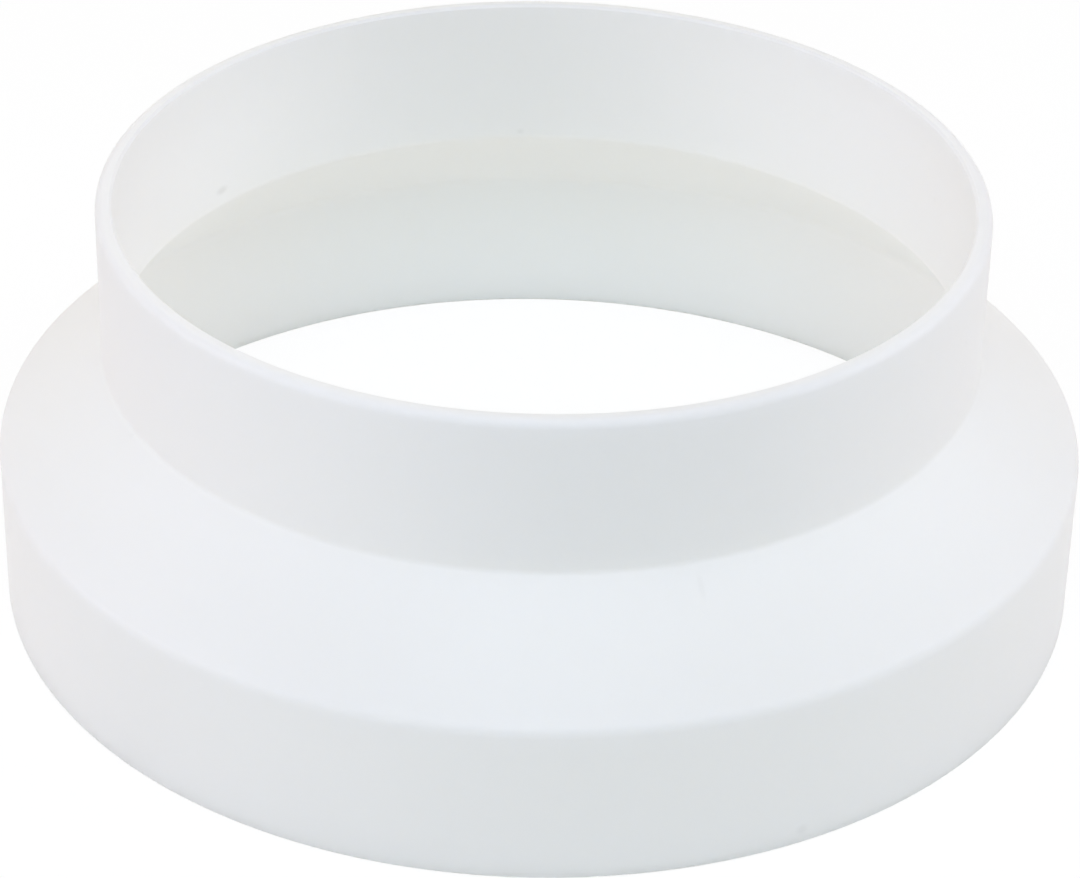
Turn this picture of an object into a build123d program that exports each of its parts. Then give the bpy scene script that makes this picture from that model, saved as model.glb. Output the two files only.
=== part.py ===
from build123d import *
from math import tan, radians
import os

# Round duct reducer, moulded in one piece: a wide collar, a cone and a narrow spigot above it.
# The duct's axis is Z, and the collar's rim stands on the XY plane.

# Outside diameters of the two ends, loose push fits in 125 mm and 100 mm duct
collar_diameter = 123.6
spigot_diameter = 99.5

# Lengths along the axis, from the collar's rim upwards
collar_length = 18.6
cone_length = 11.6
spigot_length = 18.1

# Moulded wall, measured across the axis at the spigot's rim and at the shoulder
wall = 1.9

# The core: its draft in degrees, and how far its shoulder sits below the outside one
core_draft = 0.5
core_shoulder_drop = 0.5

# Radii where the wall bends, outside and inside
shoulder_radius = 1.6
shoulder_inner_radius = 2.0
neck_radius = 0.8
neck_inner_radius = 1.0

# Edges of the two rims, rounded outside and broken inside, each kept to a share of the wall
spigot_rim_radius = 1.0
spigot_rim_chamfer = 0.3
collar_rim_radius = 0.5
collar_rim_chamfer = 0.3
rounded_share = 0.6
broken_share = 0.25

# Outside of the wall
collar_r = collar_diameter / 2
spigot_r = spigot_diameter / 2
shoulder_z = collar_length
neck_z = shoulder_z + cone_length
top_z = neck_z + spigot_length

# Inside of the wall: the core's draft opens both bores downwards
draft_slope = tan(radians(core_draft))
shoulder_inner_z = shoulder_z - core_shoulder_drop
spigot_bore_r = spigot_r - wall
neck_bore_r = spigot_bore_r + draft_slope * spigot_length
shoulder_bore_r = collar_r - wall
mouth_r = shoulder_bore_r + draft_slope * shoulder_inner_z

# Corners of the section, anticlockwise from the outside of the collar's rim
collar_rim_outer = (collar_r, 0)
shoulder = (collar_r, shoulder_z)
neck = (spigot_r, neck_z)
spigot_rim_outer = (spigot_r, top_z)
spigot_rim_inner = (spigot_bore_r, top_z)
neck_inner = (neck_bore_r, neck_z)
shoulder_inner = (shoulder_bore_r, shoulder_inner_z)
collar_rim_inner = (mouth_r, 0)

# Sizes of the corners, with the rims' edges limited by the wall that they are cut in
collar_rim_wall = collar_r - mouth_r
rounded = [
    (collar_rim_outer, min(collar_rim_radius, rounded_share * collar_rim_wall)),
    (shoulder, shoulder_radius),
    (neck, neck_radius),
    (spigot_rim_outer, min(spigot_rim_radius, rounded_share * wall)),
    (neck_inner, neck_inner_radius),
    (shoulder_inner, shoulder_inner_radius),
]
broken = [
    (spigot_rim_inner, min(spigot_rim_chamfer, broken_share * wall)),
    (collar_rim_inner, min(collar_rim_chamfer, broken_share * collar_rim_wall)),
]

# Reducer body: the section with its rounded and broken corners, turned about the duct's axis
with BuildPart() as reducer_body:
    with BuildSketch(Plane.XZ) as section:
        with BuildLine():
            Polyline(
                collar_rim_outer, shoulder, neck, spigot_rim_outer,
                spigot_rim_inner, neck_inner, shoulder_inner, collar_rim_inner,
                close=True,
            )
        make_face()
        for corner, radius in rounded:
            fillet(section.vertices().sort_by_distance(corner)[0], radius=radius)
        for corner, width in broken:
            chamfer(section.vertices().sort_by_distance(corner)[0], length=width)
    revolve(axis=Axis.Z)

os.makedirs("parts", exist_ok=True)
reducer_body.part.label = "reducer_body"
export_step(reducer_body.part, "parts/reducer_body.step")
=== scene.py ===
import bpy
import numpy as np
from mathutils import Matrix, Vector


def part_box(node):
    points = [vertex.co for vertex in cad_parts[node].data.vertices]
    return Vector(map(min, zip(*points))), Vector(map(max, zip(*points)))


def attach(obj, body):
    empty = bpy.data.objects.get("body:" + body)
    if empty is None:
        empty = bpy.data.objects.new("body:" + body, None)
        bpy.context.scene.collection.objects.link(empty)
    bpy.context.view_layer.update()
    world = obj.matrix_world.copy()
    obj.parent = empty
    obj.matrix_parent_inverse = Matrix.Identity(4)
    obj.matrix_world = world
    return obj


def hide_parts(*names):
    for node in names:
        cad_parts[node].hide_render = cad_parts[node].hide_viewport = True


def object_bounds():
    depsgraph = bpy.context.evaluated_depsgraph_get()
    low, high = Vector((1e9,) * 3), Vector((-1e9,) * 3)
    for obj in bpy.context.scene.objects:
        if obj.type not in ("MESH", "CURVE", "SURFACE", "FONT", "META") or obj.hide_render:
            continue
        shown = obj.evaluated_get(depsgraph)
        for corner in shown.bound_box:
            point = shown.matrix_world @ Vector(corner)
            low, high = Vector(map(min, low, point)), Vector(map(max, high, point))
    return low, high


# White moulded duct reducer on a white table, lengths in metres unless a note says otherwise

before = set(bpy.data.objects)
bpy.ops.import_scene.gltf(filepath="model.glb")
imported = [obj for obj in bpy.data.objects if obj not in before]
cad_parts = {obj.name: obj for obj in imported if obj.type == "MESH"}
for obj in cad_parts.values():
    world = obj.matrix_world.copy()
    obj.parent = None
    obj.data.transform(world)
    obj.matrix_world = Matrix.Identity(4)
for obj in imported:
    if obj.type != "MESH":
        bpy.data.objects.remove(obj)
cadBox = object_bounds()
mm = 0.001
print("frame loaded")


# Ring of the reducer, in millimetres and degrees, with the same sizes as the CAD part. The collar's
# radius and the height come from the frame's box.
ringForm = {
    "spigotDiameter": 99.5,
    "collarLength": 18.6,
    "coneLength": 11.6,
    "wall": 1.9,  # across the axis
    "coreDraft": 0.5,
    "coreShoulderDrop": 0.5,
    "shoulderRadius": 1.6,
    "shoulderInnerRadius": 2.0,
    "neckRadius": 0.8,
    "neckInnerRadius": 1.0,
    "spigotRimRadius": 1.0,
    "collarRimRadius": 0.5,
    "rimChamfer": 0.3,
    "chamferEdgeRadius": 0.08,
    "arcPoints": 12,  # on each bend
    "runPoints": 7,  # on each straight run, between its ends
    "pointsAround": 432,
}


def reducerCorners(form):
    # corners of the wall's section as (radius, height, rounding), anticlockwise from the collar's rim
    highest = np.array(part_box("reducer_body")[1]) / mm
    collarR, topZ = highest[0], highest[2]
    spigotR = form["spigotDiameter"] / 2
    shoulderZ = form["collarLength"]
    neckZ = shoulderZ + form["coneLength"]
    coreShoulderZ = shoulderZ - form["coreShoulderDrop"]
    slope = np.tan(np.radians(form["coreDraft"]))
    boreR = spigotR - form["wall"]
    collarBoreR = collarR - form["wall"]
    mouthR = collarBoreR + slope * coreShoulderZ
    cut, edge = form["rimChamfer"], form["chamferEdgeRadius"]
    return np.array([
        (collarR, 0, form["collarRimRadius"]),
        (collarR, shoulderZ, form["shoulderRadius"]),
        (spigotR, neckZ, form["neckRadius"]),
        (spigotR, topZ, form["spigotRimRadius"]),
        (boreR + cut, topZ, edge),
        (boreR + slope * cut, topZ - cut, edge),
        (boreR + slope * (topZ - neckZ), neckZ, form["neckInnerRadius"]),
        (collarBoreR, coreShoulderZ, form["shoulderInnerRadius"]),
        (mouthR - slope * cut, cut, edge),
        (mouthR + cut, 0, edge),
    ])


def roundedOutline(corners, arcPoints, runPoints):
    # every corner becomes an arc that touches both its sides: the centre is rounding / sin(half the
    # corner's angle) along the bisector, and the arc starts rounding / tan(half) back along the side before
    at, rounding = corners[:, :2], corners[:, 2:]
    unit = lambda v: v / np.linalg.norm(v, axis=-1, keepdims=True)
    back, ahead = unit(np.roll(at, 1, 0) - at), unit(np.roll(at, -1, 0) - at)
    half = np.arccos((back * ahead).sum(1, keepdims=True)) / 2
    centre = at + unit(back + ahead) * rounding / np.sin(half)
    arm = at + back * rounding / np.tan(half) - centre
    side = np.sign(back[:, :1] * ahead[:, 1:] - back[:, 1:] * ahead[:, :1])
    turn = -side * (np.pi - 2 * half) * np.linspace(0, 1, arcPoints)
    spun = np.stack([arm[:, :1] * np.cos(turn) - arm[:, 1:] * np.sin(turn),
                     arm[:, :1] * np.sin(turn) + arm[:, 1:] * np.cos(turn)], -1)
    arcs = centre[:, None] + spun
    # straight runs between the arcs, with their points crowded at both ends to keep the shading true
    share = (1 - np.cos(np.pi * np.linspace(0, 1, runPoints + 2)[1:-1])) / 2
    start, end = arcs[:, -1:], np.roll(arcs[:, :1], -1, 0)
    runs = start + (end - start) * share[None, :, None]
    return np.concatenate([arcs, runs], 1).reshape(-1, 2)


def turnedMesh(name, outline, around):
    # a closed outline turned about Z: x = radius cos(angle), y = radius sin(angle), z = height
    angle = np.linspace(0, 2 * np.pi, around, endpoint=False)[:, None]
    radius, height = outline[:, 0], outline[:, 1]
    points = np.stack([radius * np.cos(angle), radius * np.sin(angle), height + 0 * angle], -1)
    points = points.reshape(-1, 3) * mm
    grid = np.arange(len(points)).reshape(around, len(outline))
    nextAngle = np.roll(grid, -1, 0)
    quads = np.stack([grid, nextAngle, np.roll(nextAngle, -1, 1), np.roll(grid, -1, 1)], -1).reshape(-1, 4)
    mesh = bpy.data.meshes.new(name)
    mesh.from_pydata(points, [], quads)
    mesh.polygons.foreach_set("use_smooth", np.ones(len(quads), bool))
    mesh.update()
    return mesh


outline = roundedOutline(reducerCorners(ringForm), ringForm["arcPoints"], ringForm["runPoints"])
ringMesh = turnedMesh("reducer_ring", outline, ringForm["pointsAround"])
ring = bpy.data.objects.new("reducer_ring", ringMesh)
bpy.context.collection.objects.link(ring)
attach(ring, "root")
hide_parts("reducer_body")
print("ring turned from", len(outline), "outline points")


# Helpers for the node trees of the plastic, the table and the room

def emptyMaterial(name):
    material = bpy.data.materials.new(name)
    material.use_nodes = True
    material.node_tree.nodes.clear()
    return material


def newNode(tree, kind, place, **settings):
    made = tree.nodes.new(kind)
    made.location = place
    for name, value in settings.items():
        setattr(made, name, value)
    return made


def mathNode(tree, operation, place, first, second):
    made = newNode(tree, "ShaderNodeMath", place, operation=operation)
    tree.links.new(first, made.inputs[0])
    tree.links.new(second, made.inputs[1])
    return made.outputs["Value"]


def rangeNode(tree, place, value, fromRange, toRange, **settings):
    made = newNode(tree, "ShaderNodeMapRange", place, **settings)
    made.inputs["From Min"].default_value, made.inputs["From Max"].default_value = fromRange
    made.inputs["To Min"].default_value, made.inputs["To Max"].default_value = toRange
    tree.links.new(value, made.inputs["Value"])
    return made.outputs["Result"]


def addedShaders(tree, place, first, second):
    made = newNode(tree, "ShaderNodeAddShader", place)
    tree.links.new(first, made.inputs[0])
    tree.links.new(second, made.inputs[1])
    return made.outputs["Shader"]


def mixedShaders(tree, place, factor, first, second):
    made = newNode(tree, "ShaderNodeMixShader", place)
    tree.links.new(factor, made.inputs["Fac"])
    tree.links.new(first, made.inputs[1])
    tree.links.new(second, made.inputs[2])
    return made.outputs["Shader"]


# White plastic: colours are linear, lengths in millimetres, angles in degrees
plasticLook = {
    "white": (0.895, 0.90, 0.902, 1),
    "warmWhite": (0.892, 0.892, 0.885, 1),
    "cloudSize": 40.0,
    "cloudDetail": 2,
    "refraction": 1.5,
    "gloss": 0.42,
    "roughness": (0.45, 0.56),
    "roughnessSpread": (0.3, 0.7),  # pattern values that give the least and the most roughness
    "grainShare": 0.4,  # of the grain in that pattern, beside the clouding
    "grainSize": 0.25,
    "grainDetail": 1,
    "grainDepth": 0.004,
    "lightShare": 0.5,  # share of the light that goes into the wall
    "lightReach": 15.0,  # how far it wanders there
    "lightTint": (1.0, 0.92, 0.8),  # red goes further than blue
    "markColour": (0.30, 0.29, 0.28, 1),
    "markFade": (0.2, 1.2),  # where a mark starts to fade and where it is gone, in its half sizes
    # azimuth, radius, height, half width, half height, strength
    "marks": {
        "smudgeInBore": (143.7, 47.98, 32.2, 1.15, 0.6, 0.15),
        "speckAtStep": (93.8, 47.99, 31.0, 0.55, 0.45, 0.08),
        "speckOnCollar": (-62.7, 61.80, 1.9, 0.85, 0.75, 0.085),
        "dotInBore": (19.2, 47.92, 39.5, 0.45, 0.45, 0.035),
        "lineOnCone": (-70.9, 51.72, 28.3, 0.42, 1.7, 0.045),
        "speckOnSpigot": (-23.2, 49.75, 40.95, 0.4, 0.4, 0.035),
        "speckAtNeck": (-151.6, 50.2, 29.8, 0.4, 0.4, 0.04),
    },
}


def addMarks(tree, look, objectPlace, base):
    # each mark is a soft spot in its own turned and stretched space, mixed over the colour before it
    for step, (markName, mark) in enumerate(look["marks"].items()):
        azimuth, radius, height, halfWidth, halfHeight, strength = mark
        turn = np.radians(azimuth)
        centre = np.array([radius * np.cos(turn), radius * np.sin(turn), height])
        down = -200 - 300 * step
        spot = newNode(tree, "ShaderNodeMapping", (-900, down), vector_type="TEXTURE", label=markName)
        spot.inputs["Location"].default_value = centre * mm
        spot.inputs["Rotation"].default_value = (0, 0, turn - np.pi / 2)
        spot.inputs["Scale"].default_value = np.array([halfWidth, halfHeight, halfHeight]) * mm
        tree.links.new(objectPlace, spot.inputs["Vector"])
        away = newNode(tree, "ShaderNodeVectorMath", (-700, down), operation="LENGTH")
        tree.links.new(spot.outputs["Vector"], away.inputs[0])
        fade = rangeNode(tree, (-500, down), away.outputs["Value"], look["markFade"], (strength, 0),
                         interpolation_type="SMOOTHSTEP")
        dirt = newNode(tree, "ShaderNodeMix", (-300 + 180 * step, 400), data_type="RGBA")
        dirt.inputs["B"].default_value = look["markColour"]
        tree.links.new(base, dirt.inputs["A"])
        tree.links.new(fade, dirt.inputs["Factor"])
        base = dirt.outputs["Result"]
    return base


def noisePattern(tree, place, size, detail, objectPlace):
    noise = newNode(tree, "ShaderNodeTexNoise", place)
    noise.inputs["Scale"].default_value = 1 / (size * mm)
    noise.inputs["Detail"].default_value = detail
    tree.links.new(objectPlace, noise.inputs["Vector"])
    return noise.outputs["Fac"]


def whitePlastic(look):
    material = emptyMaterial("reducer_plastic")
    tree = material.node_tree
    join = tree.links.new
    output = newNode(tree, "ShaderNodeOutputMaterial", (1200, 0))
    surface = newNode(tree, "ShaderNodeBsdfPrincipled", (900, 0))
    surface.inputs["IOR"].default_value = look["refraction"]
    surface.inputs["Specular IOR Level"].default_value = look["gloss"]
    surface.inputs["Subsurface Weight"].default_value = look["lightShare"]
    surface.inputs["Subsurface Radius"].default_value = look["lightTint"]
    surface.inputs["Subsurface Scale"].default_value = look["lightReach"] * mm
    join(surface.outputs["BSDF"], output.inputs["Surface"])
    objectPlace = newNode(tree, "ShaderNodeTexCoord", (-1400, 0)).outputs["Object"]

    # slow clouding of the white, from the resin's flow, with the dirt marks on it
    cloud = noisePattern(tree, (-900, 300), look["cloudSize"], look["cloudDetail"], objectPlace)
    colour = newNode(tree, "ShaderNodeMix", (-600, 400), data_type="RGBA")
    colour.inputs["A"].default_value = look["white"]
    colour.inputs["B"].default_value = look["warmWhite"]
    join(cloud, colour.inputs["Factor"])
    join(addMarks(tree, look, objectPlace, colour.outputs["Result"]), surface.inputs["Base Color"])

    # fine grain of the mould's face
    grain = noisePattern(tree, (-100, -300), look["grainSize"], look["grainDetail"], objectPlace)
    bump = newNode(tree, "ShaderNodeBump", (500, -400))
    bump.inputs["Distance"].default_value = look["grainDepth"] * mm
    join(grain, bump.inputs["Height"])
    join(bump.outputs["Normal"], surface.inputs["Normal"])

    # sheen: smoother and rougher patches, broken up by the grain
    patches = newNode(tree, "ShaderNodeMix", (200, -100), data_type="FLOAT")
    patches.inputs["Factor"].default_value = look["grainShare"]
    join(cloud, patches.inputs["A"])
    join(grain, patches.inputs["B"])
    rough = rangeNode(tree, (500, -100), patches.outputs["Result"],
                      look["roughnessSpread"], look["roughness"])
    join(rough, surface.inputs["Roughness"])
    return material


ring.data.materials.append(whitePlastic(plasticLook))
print("plastic made")


# Camera at the photograph's place: metres, degrees, and the focal length in pixels of a picture
# that is 1080 pixels wide
photoCamera = {
    "place": (0.0, -0.36731, 0.24241),
    "pan": 0.009,
    "tilt": 31.693,
    "roll": 1.143,
    "focalPixels": 3729.7,
    "pictureWidth": 1080,
    "sensorWidth": 36.0,  # mm
    "clipStart": 0.01,
}


def placeCamera(view):
    pan, tilt, roll = np.radians([view["pan"], view["tilt"], view["roll"]])
    ahead = np.array([np.sin(pan) * np.cos(tilt), np.cos(pan) * np.cos(tilt), -np.sin(tilt)])
    right = np.array([np.cos(pan), -np.sin(pan), 0])
    up = np.cross(right, ahead)
    rolledRight = right * np.cos(roll) + up * np.sin(roll)
    rolledUp = up * np.cos(roll) - right * np.sin(roll)
    data = bpy.data.cameras.new("photo_camera")
    data.sensor_fit = "HORIZONTAL"
    data.sensor_width = view["sensorWidth"]
    data.lens = view["focalPixels"] / view["pictureWidth"] * view["sensorWidth"]
    data.clip_start = view["clipStart"]
    camera = bpy.data.objects.new("photo_camera", data)
    turned = Matrix(np.stack([rolledRight, rolledUp, -ahead], 1).tolist())
    camera.matrix_world = Matrix.LocRotScale(Vector(view["place"]), turned.to_quaternion(), None)
    bpy.context.collection.objects.link(camera)
    bpy.context.scene.camera = camera


placeCamera(photoCamera)
print("camera placed")


# Table and room: both show as white, the table with a light shadow. For the light that bounces on, the
# table has its own colour and a soft glow, which is strongest in the middle of the ring.
whiteRoom = {
    "tableHalf": 4.0,
    "tableDrop": 0.00002,
    "tableColour": (0.8, 0.8, 0.8, 1),
    "glowColour": (0.995, 1.0, 0.85, 1),
    "innerGlow": 0.575,
    "outerGlow": 0.154,
    "glowFade": (14.5, 67.5),  # mm from the axis, where the inner glow starts to fade and where it is gone
    "shownGlow": 0.88,
    "shownColour": (0.14, 0.14, 0.14, 1),
    "shownRoom": (1, 1, 1, 1),
    "domeColour": (1.0, 0.93, 0.80, 1),
    "domeStrength": 0.104,
}


def seenDirectly(tree, place):
    # 1 for what the camera sees, straight or in a gloss or glass, 0 for light that bounces on
    path = newNode(tree, "ShaderNodeLightPath", place)
    first = mathNode(tree, "MAXIMUM", (place[0] + 200, place[1]),
                     path.outputs["Is Camera Ray"], path.outputs["Is Glossy Ray"])
    seen = mathNode(tree, "MAXIMUM", (place[0] + 400, place[1]),
                    first, path.outputs["Is Transmission Ray"])
    return path, seen


def whiteTable(room):
    material = emptyMaterial("white_table")
    tree = material.node_tree
    join = tree.links.new
    path, seen = seenDirectly(tree, (-800, 300))

    # for bouncing light: the table's colour and the glow round the axis, which lifts the bore
    plain = newNode(tree, "ShaderNodeBsdfDiffuse", (-300, 0))
    plain.inputs["Color"].default_value = room["tableColour"]
    fromAxis = newNode(tree, "ShaderNodeVectorMath", (-700, 120), operation="LENGTH")
    join(newNode(tree, "ShaderNodeTexCoord", (-900, 120)).outputs["Object"], fromAxis.inputs[0])
    fade = rangeNode(tree, (-500, 120), fromAxis.outputs["Value"], np.array(room["glowFade"]) * mm,
                     (room["innerGlow"], room["outerGlow"]), interpolation_type="SMOOTHSTEP")
    underlight = newNode(tree, "ShaderNodeEmission", (-300, 120))
    underlight.inputs["Color"].default_value = room["glowColour"]
    join(fade, underlight.inputs["Strength"])
    lit = addedShaders(tree, (-50, 60), plain.outputs["BSDF"], underlight.outputs["Emission"])

    # for the camera: nearly white by itself, with a little of the light that falls on it for the shadow
    glow = newNode(tree, "ShaderNodeEmission", (-300, -150))
    glow.inputs["Strength"].default_value = room["shownGlow"]
    shaded = newNode(tree, "ShaderNodeBsdfDiffuse", (-300, -300))
    shaded.inputs["Color"].default_value = room["shownColour"]
    shown = addedShaders(tree, (-50, -200), glow.outputs["Emission"], shaded.outputs["BSDF"])
    table = mixedShaders(tree, (150, 0), seen, lit, shown)

    # from underneath the table lets the camera through, so that the open collar can be looked into
    side = newNode(tree, "ShaderNodeNewGeometry", (-300, 400))
    below = mathNode(tree, "MULTIPLY", (-50, 300),
                     side.outputs["Backfacing"], path.outputs["Is Camera Ray"])
    clear = newNode(tree, "ShaderNodeBsdfTransparent", (150, 200))
    output = newNode(tree, "ShaderNodeOutputMaterial", (550, 0))
    join(mixedShaders(tree, (350, 0), below, table, clear.outputs["BSDF"]), output.inputs["Surface"])
    return material


def layTable(room):
    half = room["tableHalf"]
    z = -room["tableDrop"]
    corners = [(-half, -half, z), (half, -half, z), (half, half, z), (-half, half, z)]
    mesh = bpy.data.meshes.new("table_top")
    mesh.from_pydata(corners, [], [(0, 1, 2, 3)])
    mesh.materials.append(whiteTable(room))
    table = bpy.data.objects.new("table_top", mesh)
    bpy.context.collection.objects.link(table)


def lightRoom(room):
    world = bpy.data.worlds.new("white_room")
    bpy.context.scene.world = world
    world.use_nodes = True
    tree = world.node_tree
    tree.nodes.clear()
    seen = seenDirectly(tree, (-800, 0))[1]
    dome = newNode(tree, "ShaderNodeBackground", (-100, 100))
    dome.inputs["Color"].default_value = room["domeColour"]
    dome.inputs["Strength"].default_value = room["domeStrength"]
    shown = newNode(tree, "ShaderNodeBackground", (-100, -100))
    shown.inputs["Color"].default_value = room["shownRoom"]
    output = newNode(tree, "ShaderNodeOutputWorld", (350, 0))
    both = mixedShaders(tree, (150, 0), seen, dome.outputs["Background"], shown.outputs["Background"])
    tree.links.new(both, output.inputs["Surface"])


layTable(whiteRoom)
lightRoom(whiteRoom)
print("room ready")


# Soft boxes round the ring, all turned to its middle: azimuth from the front towards +X and rise
# in degrees, distance, width and height in metres, power in watts
softBoxes = {
    "front_box": {"azimuth": 0, "rise": 43, "distance": 1.2, "size": (0.8, 0.9),
                  "power": 4.91, "colour": (0.66, 0.857, 1.0)},
    "right_box": {"azimuth": 94, "rise": 28, "distance": 1.2, "size": (1.1, 0.9),
                  "power": 6.54, "colour": (1.0, 0.951, 1.0)},
    "left_box": {"azimuth": 283, "rise": 23, "distance": 1.2, "size": (0.9, 0.8),
                 "power": 5.62, "colour": (1.0, 0.902, 0.952)},
    "back_box": {"azimuth": 195, "rise": 38, "distance": 1.2, "size": (0.9, 0.7),
                 "power": 2.52, "colour": (1.0, 0.976, 0.746)},
    "over_head": {"azimuth": 0, "rise": 86, "distance": 1.2, "size": (0.8, 0.8),
                  "power": 2.42, "colour": (1.0, 0.93, 0.826)},
    "front_strip": {"azimuth": 0, "rise": 70, "distance": 0.35, "size": (0.25, 0.1),
                    "power": 0.19, "colour": (0.68, 0.74, 1.0)},
}


def hangSoftBoxes(boxes):
    middle = (Vector(cadBox[0]) + Vector(cadBox[1])) / 2
    for name, box in boxes.items():
        azimuth, rise = np.radians([box["azimuth"], box["rise"]])
        away = Vector((np.sin(azimuth) * np.cos(rise), -np.cos(azimuth) * np.cos(rise), np.sin(rise)))
        data = bpy.data.lights.new(name, "AREA")
        data.shape = "RECTANGLE"
        data.size, data.size_y = box["size"]
        data.energy = box["power"]
        data.color = box["colour"]
        lamp = bpy.data.objects.new(name, data)
        lamp.location = middle + box["distance"] * away
        lamp.rotation_euler = away.to_track_quat("Z", "Y").to_euler()
        lamp.visible_camera = False
        bpy.context.collection.objects.link(lamp)


hangSoftBoxes(softBoxes)
print("soft boxes hung:", len(softBoxes))

bpy.context.scene.view_settings.view_transform = "Standard"
